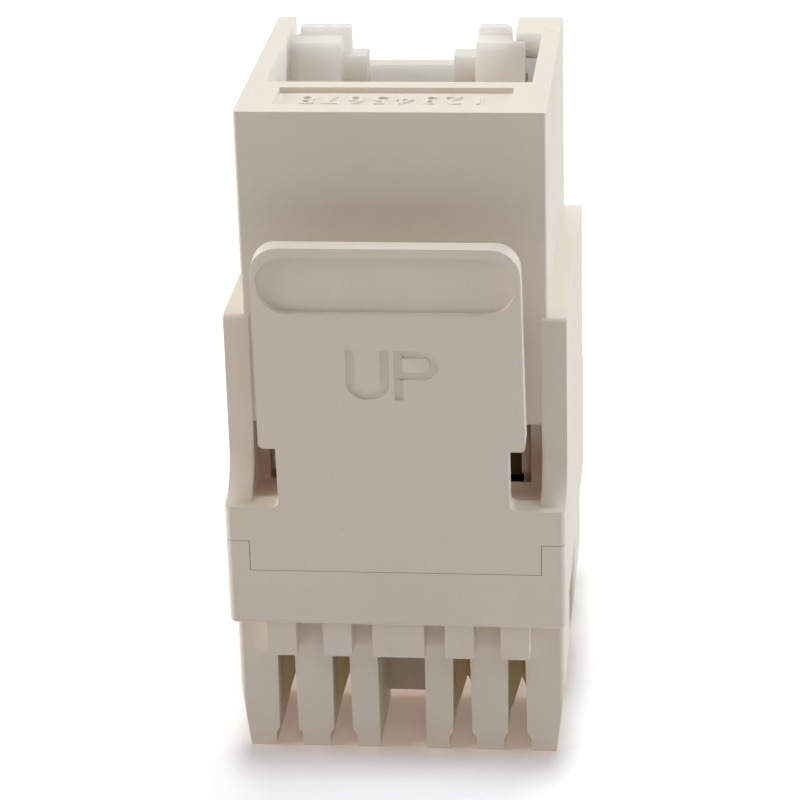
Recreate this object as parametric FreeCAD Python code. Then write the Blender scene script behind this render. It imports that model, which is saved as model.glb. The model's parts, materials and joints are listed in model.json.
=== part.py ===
"""Keystone jack: an in-line eight-way modular jack that snaps into a wall plate.

It stands on its wire end, with the plug port facing up (+Z), the spring latch in front (-Y)
and the fixed hook behind (+Y). The origin is on the plane of the wire towers' tips, below the
middle of the nose. All sizes are in millimetres.

Pieces: a front housing with the panel nose and its spring latch, a rear block with the wire
towers, a port insert with the plug guides and the contact comb, a circuit board, eight sprung
contacts and eight forked wire blades.
"""
import FreeCAD, Part
import math
import os

# --- Panel nose and heights ------------------------------------------------------------------
NOSE_WIDTH = 14.5            # goes into the panel opening
NOSE_DEPTH = 16.2
NOSE_LENGTH = 18.9           # from the collar's top to the port face
NOSE_EDGE = 0.15
WALL = 0.9
TOWER_HEIGHT = 7.4
BASE_HEIGHT = 2.9            # rear block, from the towers up to the seam
COLLAR_HEIGHT = 3.3          # housing collar, from the seam up
SHOULDER_DROP = 10.0         # from the face back to the shoulders that stop on the panel

# --- Collar and seam -------------------------------------------------------------------------
COLLAR_WIDTH = 16.3
COLLAR_AHEAD = 2.6           # ahead of the nose, under the latch
COLLAR_BEHIND = 1.4
COLLAR_EDGE = 0.3
COLLAR_LOW_EDGE = 0.25       # below, round the foot of the rear block
RAIL_HEIGHT = 1.55           # side rails of the rear block, above the seam
RAIL_WIDTH = 1.15
SEAM_GAP = 0.03

# --- Front housing ---------------------------------------------------------------------------
STRIP_THICKNESS = 1.3        # face strip over the contacts
LABEL_WIDTH = 11.1
LABEL_INSET = 1.2            # from the face's front edge
LABEL_LENGTH = 2.7
LABEL_DEPTH = 0.25
POST_LAP = 0.3               # side posts lap round the nose's corners
POST_PROUD = 0.2             # and stand ahead of it
POST_EDGE = 0.3
RAMP_RADIUS = 2.1
WINDOW_HEIGHT = 3.4          # way through the front wall, above the collar
REAR_WALL_DROP = 2.25        # the nose's rear wall is low across the port
RETURN_WIDTH = 2.22          # rear corner that stands to the full height
RETURN_LAP = 0.3             # ahead of the catch plate
HOOK_RISE = 0.4              # fixed hook behind the nose, above the shoulders
HOOK_HEIGHT = 1.5
HOOK_REACH = 1.2
HOOK_WIDTH = 11.0

# --- Latch -----------------------------------------------------------------------------------
PIVOT_INSET = 0.65           # behind the collar's front
PIVOT_RISE = 0.15            # above the collar's top
FOOT_RADIUS = 0.55
FOOT_CLEARANCE = 0.05
LATCH_AHEAD = 0.62           # front of the latch, ahead of the pivot
LATCH_THICKNESS = 1.3
LATCH_TIP_THICKNESS = 0.95
LATCH_TIP_ROUND = 0.25
LATCH_LEAN = 5.7             # degrees, away from the nose
LATCH_DROP = 5.15            # from the face down to the latch's tip
LATCH_WIDTH = 12.64
LATCH_TIP_WIDTH = 12.44
LATCH_CORNER = 1.4
LATCH_HEEL_ROUND = 0.25
NECK_WIDTH = 11.04
NECK_LENGTH = 3.27           # above the collar's top
NECK_GAP = 0.3               # from the pivot up to the plate's lower edge
GRIP_WIDTH = 12.0
GRIP_TOP_INSET = 0.45
GRIP_HEIGHT = 2.9
GRIP_DEPTH = 0.3

# --- Wire towers -----------------------------------------------------------------------------
TOWER_INSET = 1.4            # rows stand inside the collar's front and back
TOWER_SIDE_INSET = 0.15
TOWER_EDGE = 0.25
ROW_DEPTH = 5.6
CENTRE_GAP = 2.32
WEB_THICKNESS = 0.8          # closes the centre gap on the wires' side
WEB_LIFT = 0.7               # above the tips
TOWER_TAPER = 0.4            # outer sides lean in towards the tips
TAPER_RISE = 3.4
SLOT_WIDTH = 0.8             # at the roof
SLOT_FOOT_WIDTH = 0.96       # just above the mouth
INNER_SLOT = 2.97            # from the middle, the same on both sides
OUTER_SLOT = 5.68
TOWER_ROOF = 0.5             # solid above the slots
MOUTH_WIDTH = 1.35           # wider mouth of each slot
MOUTH_HEIGHT = 0.65
MOUTH_SLOPE = 0.3
BLOCK_WIDTH = 1.4            # short blocks below the collar, ahead of each slot
CENTRE_BLOCK_WIDTH = 2.53
BLOCK_REACH = 1.1
BLOCK_HEIGHT = 1.83

# --- Wire blades -----------------------------------------------------------------------------
BLADE_WIDTH = 2.9
BLADE_THICKNESS = 0.5
BLADE_TURN = 45.0            # degrees, across the wire
BLADE_TIP_Z = 1.4
BLADE_TIP_INSET = 0.4
BLADE_TIP_SLOPE = 1.2
BLADE_MOUTH = 1.5            # between the tines' tips
BLADE_MOUTH_DEPTH = 1.4
BLADE_SLIT = 0.28
SLIT_LENGTH = 3.6
BLADE_TOP_DROP = 0.5         # below the seam
TAIL_WIDTH = 0.6
TAIL_PROUD = 0.3             # above the board
BLADE_CLEARANCE = 0.05

# --- Circuit board ---------------------------------------------------------------------------
BOARD_THICKNESS = 1.2
BOARD_RISE = 0.3             # above the seam
BOARD_FRONT_INSET = 1.4      # inside the tower rows' outer faces
BOARD_BACK_INSET = 1.2
BOARD_CLEARANCE = 0.1

# --- Port insert -----------------------------------------------------------------------------
PORT_WIDTH = 11.8
PORT_HEIGHT = 6.85           # from the guide blocks to the face strip
PORT_DEPTH = 14.0
INSERT_CLEARANCE = 0.1
REAR_CLEARANCE = 0.3         # behind the insert
CHEEK_CLEARANCE = 0.05
CHEEK_DROP = 4.0             # below the face
GUIDE_WIDTH = 2.45
TAB_CHANNEL = 6.8            # plug tab's channel between the guide blocks
CHANNEL_SHIFT = -0.3         # the channel's middle, from the port's
GUIDE_DROP = 0.35            # guide blocks stop short of the face
GUIDE_DEPTH = 1.9
LEAD_IN_DEPTH = 1.0          # slope at the top of each guide block
LEAD_IN_HEIGHT = 1.75
CATCH_DEPTH = 1.4            # plate that the plug's tab catches on
CATCH_GAP = 4.4
CATCH_DROP = 1.3
CATCH_THICKNESS = 1.7
EAR_DEPTH = 0.7              # ears behind the guide blocks
EAR_INSET = 0.25             # left ear's outer side, inside its guide block's
EAR_LAP = 0.35               # left ear's inner side, over the channel
EAR_GAP = 0.25               # beside the rear corner
EAR_CORNER = 0.35
COMB_HEIGHT = 5.6
COMB_SPINE = 0.4
COMB_SLOT = 0.64
CHEEK_NOTCH_DEPTH = 1.5      # lower front corner of each cheek, behind the window
CHEEK_NOTCH_HEIGHT = 0.45    # above the collar's top
FOOT_RIB_WIDTH = 2.0         # rib that the insert stands on, between the blade tails
TAIL_ROOM = 0.15             # around the tails that come through the board

# --- Contacts --------------------------------------------------------------------------------
CONTACT_COUNT = 8
CONTACT_PITCH = 1.02
CONTACT_WIDTH = 0.46
CONTACT_THICKNESS = 0.3
CONTACT_BEND = 0.7
CONTACT_HOLE_PLAY = 0.25     # the tail rocks in its hole
CONTACT_TAIL = 0.6           # below the board
CONTACT_RISER = 1.2          # straight above the board
CONTACT_TIP_ROUND = 0.12
CREST_IN_PORT = 1.3          # past the face strip's edge
ROOT_PLACE = 0.5             # shares of the way from the strip's edge to the front wall
KNEE_PLACE = 0.24
TIP_PLACE = 0.34
KNEE_BELOW_FLOOR = 1.0       # heights, from the port's floor and the comb
CREST_ABOVE_FLOOR = 3.7
TIP_IN_COMB = 3.1

# --- Places worked out from the sizes --------------------------------------------------------
seam_z = TOWER_HEIGHT + BASE_HEIGHT
rail_top = seam_z + RAIL_HEIGHT
collar_top = seam_z + COLLAR_HEIGHT
face_z = collar_top + NOSE_LENGTH
shoulder_z = face_z - SHOULDER_DROP
nose_x = NOSE_WIDTH / 2
nose_y = NOSE_DEPTH / 2
inner_x = nose_x - WALL
inner_y = nose_y - WALL
post_inner = nose_x - POST_LAP
collar_x = COLLAR_WIDTH / 2
collar_front = -nose_y - COLLAR_AHEAD
collar_back = nose_y + COLLAR_BEHIND
rail_inner = collar_x - RAIL_WIDTH
plate_back = inner_y - REAR_CLEARANCE
guide_back = plate_back - CATCH_DEPTH
guide_front = guide_back - GUIDE_DEPTH
ear_front = plate_back - EAR_DEPTH
channel_left = CHANNEL_SHIFT - TAB_CHANNEL / 2
channel_right = CHANNEL_SHIFT + TAB_CHANNEL / 2
strip_edge = guide_front - PORT_HEIGHT
strip_bottom = face_z - STRIP_THICKNESS
return_left = nose_x - RETURN_WIDTH
return_front = guide_back - RETURN_LAP
rear_wall_top = face_z - REAR_WALL_DROP

pivot_y = collar_front + PIVOT_INSET
pivot_z = collar_top + PIVOT_RISE

tower_x = collar_x - TOWER_SIDE_INSET
tower_rows = (
    (collar_front + TOWER_INSET, collar_front + TOWER_INSET + ROW_DEPTH),
    (collar_back - TOWER_INSET - ROW_DEPTH, collar_back - TOWER_INSET),
)
row_middles = [(low + high) / 2 for low, high in tower_rows]
slot_centres = [side * place for side in (-1, 1) for place in (INNER_SLOT, OUTER_SLOT)]
slot_top = TOWER_HEIGHT - TOWER_ROOF

board_bottom = seam_z + BOARD_RISE
board_top = board_bottom + BOARD_THICKNESS
board_front = tower_rows[0][0] + BOARD_FRONT_INSET
board_back = tower_rows[1][1] - BOARD_BACK_INSET

port_floor = face_z - PORT_DEPTH
insert_bottom = board_top + TAIL_PROUD + TAIL_ROOM
cheek_outer = inner_x - CHEEK_CLEARANCE
cheek_top = face_z - CHEEK_DROP
comb_top = strip_bottom - INSERT_CLEARANCE
comb_bottom = comb_top - COMB_HEIGHT

contact_room = strip_edge + inner_y
contact_root_y = strip_edge - ROOT_PLACE * contact_room
contact_line = [
    (contact_root_y, board_bottom - CONTACT_TAIL),
    (contact_root_y, board_top + CONTACT_RISER),
    (strip_edge - KNEE_PLACE * contact_room, port_floor - KNEE_BELOW_FLOOR),
    (strip_edge + CREST_IN_PORT, port_floor + CREST_ABOVE_FLOOR),
    (strip_edge - TIP_PLACE * contact_room, comb_bottom + TIP_IN_COMB),
]
contact_centres = [
    (index - (CONTACT_COUNT - 1) / 2) * CONTACT_PITCH for index in range(CONTACT_COUNT)
]
X_AXIS = FreeCAD.Vector(1, 0, 0)
Z_AXIS = FreeCAD.Vector(0, 0, 1)


# --- Small modelling helpers -----------------------------------------------------------------
def block(x, y, z):
    """Box from three (low, high) pairs."""
    size = (x[1] - x[0], y[1] - y[0], z[1] - z[0])
    return Part.makeBox(*size, FreeCAD.Vector(x[0], y[0], z[0]))


def both(low, high):
    """The same stretch of X on the left and on the right."""
    return ((-high, -low), (low, high))


def fuse(pieces):
    """One solid from several that touch or overlap."""
    return pieces[0].multiFuse(pieces[1:]).removeSplitter()


def outline(corners, radii=None):
    """Flat closed face through corners, each rounded by its own radius (0 keeps it sharp)."""
    count = len(corners)
    radii = radii or [0] * count
    edges = []
    starts = []
    ends = []
    for index, corner in enumerate(corners):
        before = (corners[index - 1] - corner).normalize()
        after = (corners[(index + 1) % count] - corner).normalize()
        half_turn = before.getAngle(after) / 2
        reach = radii[index] / math.tan(half_turn)
        starts.append(corner + before * reach)
        ends.append(corner + after * reach)
        if radii[index]:
            bisector = (before + after).normalize()
            nearest = radii[index] / math.sin(half_turn) - radii[index]
            middle = corner + bisector * nearest
            edges.append(Part.Arc(starts[-1], middle, ends[-1]).toShape())
    for index in range(count):
        gap = starts[(index + 1) % count] - ends[index]
        if gap.Length > 1e-6:
            edges.append(Part.makeLine(ends[index], starts[(index + 1) % count]))
    return Part.Face(Part.Wire(Part.__sortEdges__(edges)))


def side_profile(points, x, radii=None):
    """Solid from a (y, z) outline, extruded over a (low, high) stretch of X."""
    corners = [FreeCAD.Vector(x[0], y, z) for y, z in points]
    return outline(corners, radii).extrude(X_AXIS * (x[1] - x[0]))


def front_profile(points, y, radii=None):
    """Solid from an (x, z) outline, extruded over a (low, high) stretch of Y."""
    corners = [FreeCAD.Vector(px, y[0], pz) for px, pz in points]
    return outline(corners, radii).extrude(FreeCAD.Vector(0, y[1] - y[0], 0))


def post_block(x, y, z, radius):
    """Box with its four upright edges rounded."""
    corners = [
        FreeCAD.Vector(x[0], y[0], z[0]),
        FreeCAD.Vector(x[1], y[0], z[0]),
        FreeCAD.Vector(x[1], y[1], z[0]),
        FreeCAD.Vector(x[0], y[1], z[0]),
    ]
    return outline(corners, [radius] * 4).extrude(Z_AXIS * (z[1] - z[0]))


def export(name, shape):
    """Check one solid and write its file."""
    if not shape.isValid() or len(shape.Solids) != 1:
        raise ValueError("%s: %d solids, valid %s" % (name, len(shape.Solids), shape.isValid()))
    shape.Solids[0].exportStep("parts/%s.step" % name)


# --- Front housing ---------------------------------------------------------------------------
def side_post(x):
    """Panel shoulder beside the nose, with a hollow ramp down to the collar's front."""
    front = -nose_y - POST_PROUD
    back = nose_y + POST_PROUD
    ramp_front = front - RAMP_RADIUS
    points = [
        (ramp_front, collar_top - WALL),
        (ramp_front, collar_top),
        (front, collar_top),
        (front, shoulder_z),
        (back, shoulder_z),
        (back, collar_top - WALL),
    ]
    return side_profile(points, x, [0, 0, RAMP_RADIUS, POST_EDGE, POST_EDGE, 0])


def fixed_hook():
    """Wedge behind the nose that goes behind the panel's fixed edge."""
    low = shoulder_z + HOOK_RISE
    points = [
        (inner_y, low),
        (nose_y + HOOK_REACH / 2, low),
        (nose_y + HOOK_REACH, low + HOOK_HEIGHT / 2),
        (nose_y + HOOK_REACH, low + HOOK_HEIGHT),
        (inner_y, low + HOOK_HEIGHT),
    ]
    return side_profile(points, (-HOOK_WIDTH / 2, HOOK_WIDTH / 2))


def latch_seat():
    """Round groove in the collar that the latch's foot turns in."""
    length = NECK_WIDTH + 2 * FOOT_CLEARANCE
    start = FreeCAD.Vector(-length / 2, pivot_y, pivot_z)
    return Part.makeCylinder(FOOT_RADIUS + FOOT_CLEARANCE, length, start, X_AXIS)


def front_housing():
    """Nose, shoulders, collar and latch seat, moulded in one piece."""
    nose = post_block((-nose_x, nose_x), (-nose_y, nose_y), (collar_top, face_z), NOSE_EDGE)
    collar = post_block(
        (-collar_x, collar_x), (collar_front, collar_back), (seam_z, collar_top), COLLAR_EDGE
    )
    posts = [side_post(x) for x in both(post_inner, collar_x)]
    solid = fuse([nose, collar, fixed_hook()] + posts)
    label_front = LABEL_INSET - nose_y
    cuts = [
        # the hollow nose, closed above by the face strip
        block((-inner_x, inner_x), (-inner_y, inner_y), (seam_z, strip_bottom)),
        block((-inner_x, inner_x), (strip_edge, return_front), (strip_bottom, face_z)),
        # the rear wall is cut low, up to the corner that stands to the full height
        block((-inner_x, return_left), (return_front, nose_y), (rear_wall_top, face_z)),
        # the way through the front wall behind the latch
        block(
            (-post_inner, post_inner),
            (-nose_y, -inner_y),
            (collar_top, collar_top + WINDOW_HEIGHT),
        ),
        # the shallow label recess in the face strip
        block(
            (-LABEL_WIDTH / 2, LABEL_WIDTH / 2),
            (label_front, label_front + LABEL_LENGTH),
            (face_z - LABEL_DEPTH, face_z),
        ),
        # the circuit board's bay
        block(
            (-rail_inner, rail_inner),
            (board_front - BOARD_CLEARANCE, board_back + BOARD_CLEARANCE),
            (seam_z, board_top + BOARD_CLEARANCE),
        ),
        latch_seat(),
    ]
    # room for the rear block's rails
    for x in both(rail_inner, collar_x):
        cuts.append(block(x, (collar_front, collar_back), (seam_z, rail_top)))
    return solid.cut(Part.makeCompound(cuts)).removeSplitter()


# --- Latch -----------------------------------------------------------------------------------
def latch_arm():
    """Spring latch: a rounded foot, a neck and a wide tongue with a dished finger grip."""
    length = face_z - LATCH_DROP - pivot_z
    neck_top = NECK_LENGTH - PIVOT_RISE
    front = -LATCH_AHEAD
    plate = (front, front + LATCH_THICKNESS)
    taper = [
        (front, NECK_GAP),
        (plate[1], NECK_GAP),
        (plate[1], neck_top),
        (front + LATCH_TIP_THICKNESS, length),
        (front, length),
    ]
    tongue_x = (-LATCH_WIDTH / 2, LATCH_WIDTH / 2)
    section = side_profile(taper, tongue_x, [0, 0, 0, LATCH_TIP_ROUND, 0])
    tongue = [
        (-LATCH_WIDTH / 2, neck_top),
        (LATCH_WIDTH / 2, neck_top),
        (LATCH_TIP_WIDTH / 2, length),
        (-LATCH_TIP_WIDTH / 2, length),
    ]
    tongue_radii = [LATCH_HEEL_ROUND, LATCH_HEEL_ROUND, LATCH_CORNER, LATCH_CORNER]
    neck_x = (-NECK_WIDTH / 2, NECK_WIDTH / 2)
    foot_start = FreeCAD.Vector(neck_x[0], 0, 0)
    pieces = [
        front_profile(tongue, plate, tongue_radii).common(section),
        block(neck_x, plate, (NECK_GAP, neck_top)),
        block(neck_x, (-FOOT_RADIUS, FOOT_RADIUS), (0, NECK_GAP)),
        Part.makeCylinder(FOOT_RADIUS, NECK_WIDTH, foot_start, X_AXIS),
    ]
    grip_top = length - GRIP_TOP_INSET
    grip = [
        (-GRIP_WIDTH / 2, grip_top - GRIP_HEIGHT),
        (GRIP_WIDTH / 2, grip_top - GRIP_HEIGHT),
        (GRIP_WIDTH / 2, grip_top),
        (-GRIP_WIDTH / 2, grip_top),
    ]
    dish = front_profile(grip, (front, front + GRIP_DEPTH), [0.49 * GRIP_HEIGHT] * 4)
    arm = fuse(pieces).cut(dish)
    arm.rotate(FreeCAD.Vector(0, 0, 0), X_AXIS, LATCH_LEAN)
    arm.translate(FreeCAD.Vector(0, pivot_y, pivot_z))
    return arm


# --- Rear block ------------------------------------------------------------------------------
def slot_cut(x, y):
    """Wire slot through one row of towers, with a wider stepped mouth."""
    narrow = SLOT_WIDTH / 2
    foot = SLOT_FOOT_WIDTH / 2
    wide = MOUTH_WIDTH / 2
    points = [
        (x - wide, 0),
        (x + wide, 0),
        (x + wide, MOUTH_HEIGHT),
        (x + foot, MOUTH_HEIGHT + MOUTH_SLOPE),
        (x + narrow, slot_top),
        (x - narrow, slot_top),
        (x - foot, MOUTH_HEIGHT + MOUTH_SLOPE),
        (x - wide, MOUTH_HEIGHT),
    ]
    return front_profile(points, y)


def across_wire(shape, x, y):
    """Turn a piece made about the Z axis across the wire and put it in its slot."""
    shape.rotate(FreeCAD.Vector(0, 0, 0), Z_AXIS, BLADE_TURN)
    shape.translate(FreeCAD.Vector(x, y, 0))
    return shape


def blade_room(width, low, high):
    """Room about the Z axis for a stretch of blade, with its clearance all round."""
    half_width = width / 2 + BLADE_CLEARANCE
    half_thickness = BLADE_THICKNESS / 2 + BLADE_CLEARANCE
    return block((-half_width, half_width), (-half_thickness, half_thickness), (low, high))


def tower_row(row):
    """One row of towers before its slots are cut; the outer sides lean in at the foot."""
    foot = tower_x - TOWER_TAPER
    points = [
        (-foot, 0),
        (foot, 0),
        (tower_x, TAPER_RISE),
        (tower_x, TOWER_HEIGHT),
        (-tower_x, TOWER_HEIGHT),
        (-tower_x, TAPER_RISE),
    ]
    corners = post_block((-tower_x, tower_x), row, (0, TOWER_HEIGHT), TOWER_EDGE)
    return front_profile(points, row).common(corners)


def lower_collar():
    """Base of the rear block with its two side rails, rounded below."""
    collar = post_block(
        (-collar_x, collar_x),
        (collar_front, collar_back),
        (TOWER_HEIGHT, rail_top - SEAM_GAP),
        COLLAR_EDGE,
    )
    low_edges = [edge for edge in collar.Edges if edge.BoundBox.ZMax < TOWER_HEIGHT + 0.01]
    collar = collar.makeFillet(COLLAR_LOW_EDGE, low_edges)
    between_rails = rail_inner + SEAM_GAP
    bed = block(
        (-between_rails, between_rails),
        (collar_front, collar_back),
        (seam_z - SEAM_GAP, rail_top),
    )
    return collar.cut(bed)


def rear_block():
    """Lower collar, two rows of wire towers and the short blocks over the slots."""
    pieces = [lower_collar()]
    for row in tower_rows:
        pieces.append(tower_row(row))
    front, back = tower_rows[0][0], tower_rows[1][1]
    blocks = [(x, BLOCK_WIDTH) for x in slot_centres] + [(0, CENTRE_BLOCK_WIDTH)]
    for reach in ((front - BLOCK_REACH, front), (back, back + BLOCK_REACH)):
        for x, width in blocks:
            stretch = (x - width / 2, x + width / 2)
            pieces.append(block(stretch, reach, (TOWER_HEIGHT - BLOCK_HEIGHT, TOWER_HEIGHT)))
    tail_room = CONTACT_THICKNESS / 2 + CONTACT_HOLE_PLAY
    contact_edge = contact_centres[-1] + COMB_SLOT / 2
    cuts = [
        # trough under the board for the contacts' tails
        block(
            (-contact_edge, contact_edge),
            (contact_root_y - tail_room, contact_root_y + tail_room),
            (board_bottom - CONTACT_TAIL - TAIL_ROOM, seam_z),
        )
    ]
    gap_x = (-CENTRE_GAP / 2, CENTRE_GAP / 2)
    gaps = (
        (tower_rows[0][0], tower_rows[0][1] - WEB_THICKNESS),
        (tower_rows[1][0] + WEB_THICKNESS, tower_rows[1][1]),
    )
    for row, gap, middle in zip(tower_rows, gaps, row_middles):
        cuts.append(block(gap_x, row, (0, WEB_LIFT)))
        cuts.append(block(gap_x, gap, (0, slot_top)))
        for x in slot_centres:
            cuts.append(slot_cut(x, row))
            pocket = blade_room(BLADE_WIDTH, BLADE_TIP_Z - BLADE_CLEARANCE, seam_z)
            cuts.append(across_wire(pocket, x, middle))
    return fuse(pieces).cut(Part.makeCompound(cuts)).removeSplitter()


# --- Wire blades -----------------------------------------------------------------------------
def wire_blade(x, y):
    """Forked blade: two tines with a V mouth and a slit that grips the wire, and a board tail."""
    half = BLADE_WIDTH / 2
    slit = BLADE_SLIT / 2
    apex_z = BLADE_TIP_Z + BLADE_MOUTH_DEPTH
    top_z = seam_z - BLADE_TOP_DROP
    right = [
        (slit, apex_z),
        (BLADE_MOUTH / 2, BLADE_TIP_Z),
        (half - BLADE_TIP_INSET, BLADE_TIP_Z),
        (half, BLADE_TIP_Z + BLADE_TIP_SLOPE),
        (half, top_z),
        (TAIL_WIDTH / 2, top_z),
        (TAIL_WIDTH / 2, board_top + TAIL_PROUD),
    ]
    left = [(-px, pz) for px, pz in reversed(right)]
    slit_end = [(-slit, apex_z + SLIT_LENGTH), (slit, apex_z + SLIT_LENGTH)]
    thickness = (-BLADE_THICKNESS / 2, BLADE_THICKNESS / 2)
    return across_wire(front_profile(right + left + slit_end, thickness), x, y)


# --- Circuit board ---------------------------------------------------------------------------
def circuit_board():
    """Board between the contacts and the wire blades, with a slot for every tail."""
    half_width = rail_inner - BOARD_CLEARANCE
    board_z = (board_bottom, board_top)
    board = block((-half_width, half_width), (board_front, board_back), board_z)
    holes = []
    for y in row_middles:
        for x in slot_centres:
            holes.append(across_wire(blade_room(TAIL_WIDTH, *board_z), x, y))
    half_hole = CONTACT_THICKNESS / 2 + CONTACT_HOLE_PLAY
    for x in contact_centres:
        hole_y = (contact_root_y - half_hole, contact_root_y + half_hole)
        holes.append(block((x - COMB_SLOT / 2, x + COMB_SLOT / 2), hole_y, board_z))
    return board.cut(Part.makeCompound(holes))


# --- Port insert -----------------------------------------------------------------------------
def catch_plate():
    """Ears behind the guide blocks, and the two catches for the plug's tab."""
    left = channel_left - GUIDE_WIDTH + EAR_INSET
    lap = channel_left + EAR_LAP
    right = return_left - EAR_GAP
    stretch = (ear_front, plate_back)
    left_ear = [(left, cheek_top), (lap, cheek_top), (lap, face_z), (left, face_z)]
    right_ear = [
        (channel_right, cheek_top),
        (right, cheek_top),
        (right, face_z),
        (channel_right, face_z),
    ]
    catch_top = face_z - CATCH_DROP
    catch_z = (catch_top - CATCH_THICKNESS, catch_top)
    gap_left = CHANNEL_SHIFT - CATCH_GAP / 2
    gap_right = CHANNEL_SHIFT + CATCH_GAP / 2
    return [
        front_profile(left_ear, stretch),
        front_profile(right_ear, stretch, [0, 0, EAR_CORNER, 0]),
        block((channel_left, gap_left), (guide_back, plate_back), catch_z),
        block((gap_right, channel_right), (guide_back, plate_back), catch_z),
    ]


def comb_slots():
    """One slot of the comb for each contact, open towards the port."""
    front = -inner_y + INSERT_CLEARANCE + COMB_SPINE
    return [
        block((x - COMB_SLOT / 2, x + COMB_SLOT / 2), (front, strip_edge), (comb_bottom, comb_top))
        for x in contact_centres
    ]


def port_insert():
    """Plug port: floor, cheeks, guide blocks, the plug's catches and the contact comb."""
    front = -inner_y + INSERT_CLEARANCE
    floor_front = strip_edge - INSERT_CLEARANCE
    across = (-cheek_outer, cheek_outer)
    rib_x = (-FOOT_RIB_WIDTH / 2, FOOT_RIB_WIDTH / 2)
    guide_y = (guide_front, plate_back)
    pieces = [
        block(across, (floor_front, plate_back), (insert_bottom, port_floor)),
        block(rib_x, (floor_front, plate_back), (board_top, insert_bottom)),
        block(across, (front, floor_front), (comb_bottom, comb_top)),
    ]
    for x in both(PORT_WIDTH / 2, cheek_outer):
        pieces.append(block(x, (front, plate_back), (insert_bottom, cheek_top)))
    for x in ((-cheek_outer, channel_left), (channel_right, cheek_outer)):
        pieces.append(block(x, guide_y, (port_floor, cheek_top)))
    guide_top = face_z - GUIDE_DROP
    guide = [
        (guide_front, cheek_top),
        (ear_front, cheek_top),
        (ear_front, guide_top),
        (guide_front + LEAD_IN_DEPTH, guide_top),
        (guide_front, guide_top - LEAD_IN_HEIGHT),
    ]
    pieces.append(side_profile(guide, (channel_left - GUIDE_WIDTH, channel_left)))
    pieces.append(side_profile(guide, (channel_right, channel_right + GUIDE_WIDTH)))
    solid = fuse(pieces + catch_plate())
    cuts = comb_slots()
    for x in both(PORT_WIDTH / 2, cheek_outer):
        notch_z = (insert_bottom, collar_top + CHEEK_NOTCH_HEIGHT)
        cuts.append(block(x, (front, front + CHEEK_NOTCH_DEPTH), notch_z))
    # room for the housing's rear corner
    corner = block(
        (return_left - 2 * INSERT_CLEARANCE, cheek_outer),
        (return_front - 2 * INSERT_CLEARANCE, plate_back),
        (rear_wall_top - INSERT_CLEARANCE, face_z),
    )
    return solid.cut(Part.makeCompound(cuts + [corner])).removeSplitter()


# --- Contacts --------------------------------------------------------------------------------
def offset_corner(points, index, half):
    """One corner of a strip's two sides, with the radii that keep its bend even."""
    point = points[index]
    before = points[max(index - 1, 0)]
    after = points[min(index + 1, len(points) - 1)]
    arriving = (point - before if index else after - point).normalize()
    leaving = (after - point if point != after else point - before).normalize()
    turn = arriving.y * leaving.z - arriving.z * leaving.y
    across = FreeCAD.Vector(0, -arriving.z, arriving.y)
    middle = (across + FreeCAD.Vector(0, -leaving.z, leaving.y)).normalize()
    offset = middle * (half / middle.dot(across))
    bend = CONTACT_BEND if abs(turn) > 1e-6 else 0
    swing = math.copysign(half, turn) if bend else 0
    return (point + offset, bend - swing), (point - offset, bend + swing)


def contact(x):
    """Flat spring contact: a tail in the board, a limb, a crest in the port and a free end."""
    low_x = x - CONTACT_WIDTH / 2
    points = [FreeCAD.Vector(low_x, y, z) for y, z in contact_line]
    half = CONTACT_THICKNESS / 2
    pairs = [offset_corner(points, index, half) for index in range(len(points))]
    corners = [near for near, far in pairs] + [far for near, far in reversed(pairs)]
    radii = [radius for corner, radius in corners]
    tip = len(points) - 1
    radii[tip] = radii[tip + 1] = CONTACT_TIP_ROUND
    face = outline([corner for corner, radius in corners], radii)
    return face.extrude(X_AXIS * CONTACT_WIDTH)


def main():
    os.makedirs("parts", exist_ok=True)
    export("front_housing", front_housing())
    export("latch_arm", latch_arm())
    export("rear_block", rear_block())
    export("port_insert", port_insert())
    export("circuit_board", circuit_board())
    for number, x in enumerate(contact_centres, start=1):
        export("contact_%d" % number, contact(x))
    places = [(x, y) for y in row_middles for x in slot_centres]
    for number, (x, y) in enumerate(places, start=1):
        export("wire_blade_%d" % number, wire_blade(x, y))


main()
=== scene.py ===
import bmesh
import bpy
import json
import math
from mathutils import Matrix, Vector

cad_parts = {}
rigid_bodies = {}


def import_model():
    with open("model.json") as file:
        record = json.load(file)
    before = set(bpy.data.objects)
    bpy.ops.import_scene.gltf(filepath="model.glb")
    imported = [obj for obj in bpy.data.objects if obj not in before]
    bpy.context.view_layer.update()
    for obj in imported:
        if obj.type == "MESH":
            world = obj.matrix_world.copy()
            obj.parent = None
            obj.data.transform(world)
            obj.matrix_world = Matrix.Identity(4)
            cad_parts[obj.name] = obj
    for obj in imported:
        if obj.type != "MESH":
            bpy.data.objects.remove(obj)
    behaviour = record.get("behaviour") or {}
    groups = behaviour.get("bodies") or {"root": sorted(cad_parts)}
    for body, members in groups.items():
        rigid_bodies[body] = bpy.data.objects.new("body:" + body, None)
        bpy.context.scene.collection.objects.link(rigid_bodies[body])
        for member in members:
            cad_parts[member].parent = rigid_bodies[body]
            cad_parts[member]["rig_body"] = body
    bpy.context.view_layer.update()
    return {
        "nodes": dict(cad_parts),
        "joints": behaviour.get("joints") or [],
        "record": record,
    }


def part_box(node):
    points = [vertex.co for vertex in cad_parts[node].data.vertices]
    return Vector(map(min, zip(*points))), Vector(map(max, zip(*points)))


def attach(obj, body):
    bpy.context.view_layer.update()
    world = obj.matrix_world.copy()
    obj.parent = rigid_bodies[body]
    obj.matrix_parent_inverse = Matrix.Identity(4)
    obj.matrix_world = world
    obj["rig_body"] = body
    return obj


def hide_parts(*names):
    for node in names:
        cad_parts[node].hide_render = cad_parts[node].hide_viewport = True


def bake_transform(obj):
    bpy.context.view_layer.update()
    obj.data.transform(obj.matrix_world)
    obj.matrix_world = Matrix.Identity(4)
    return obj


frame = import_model()

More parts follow.
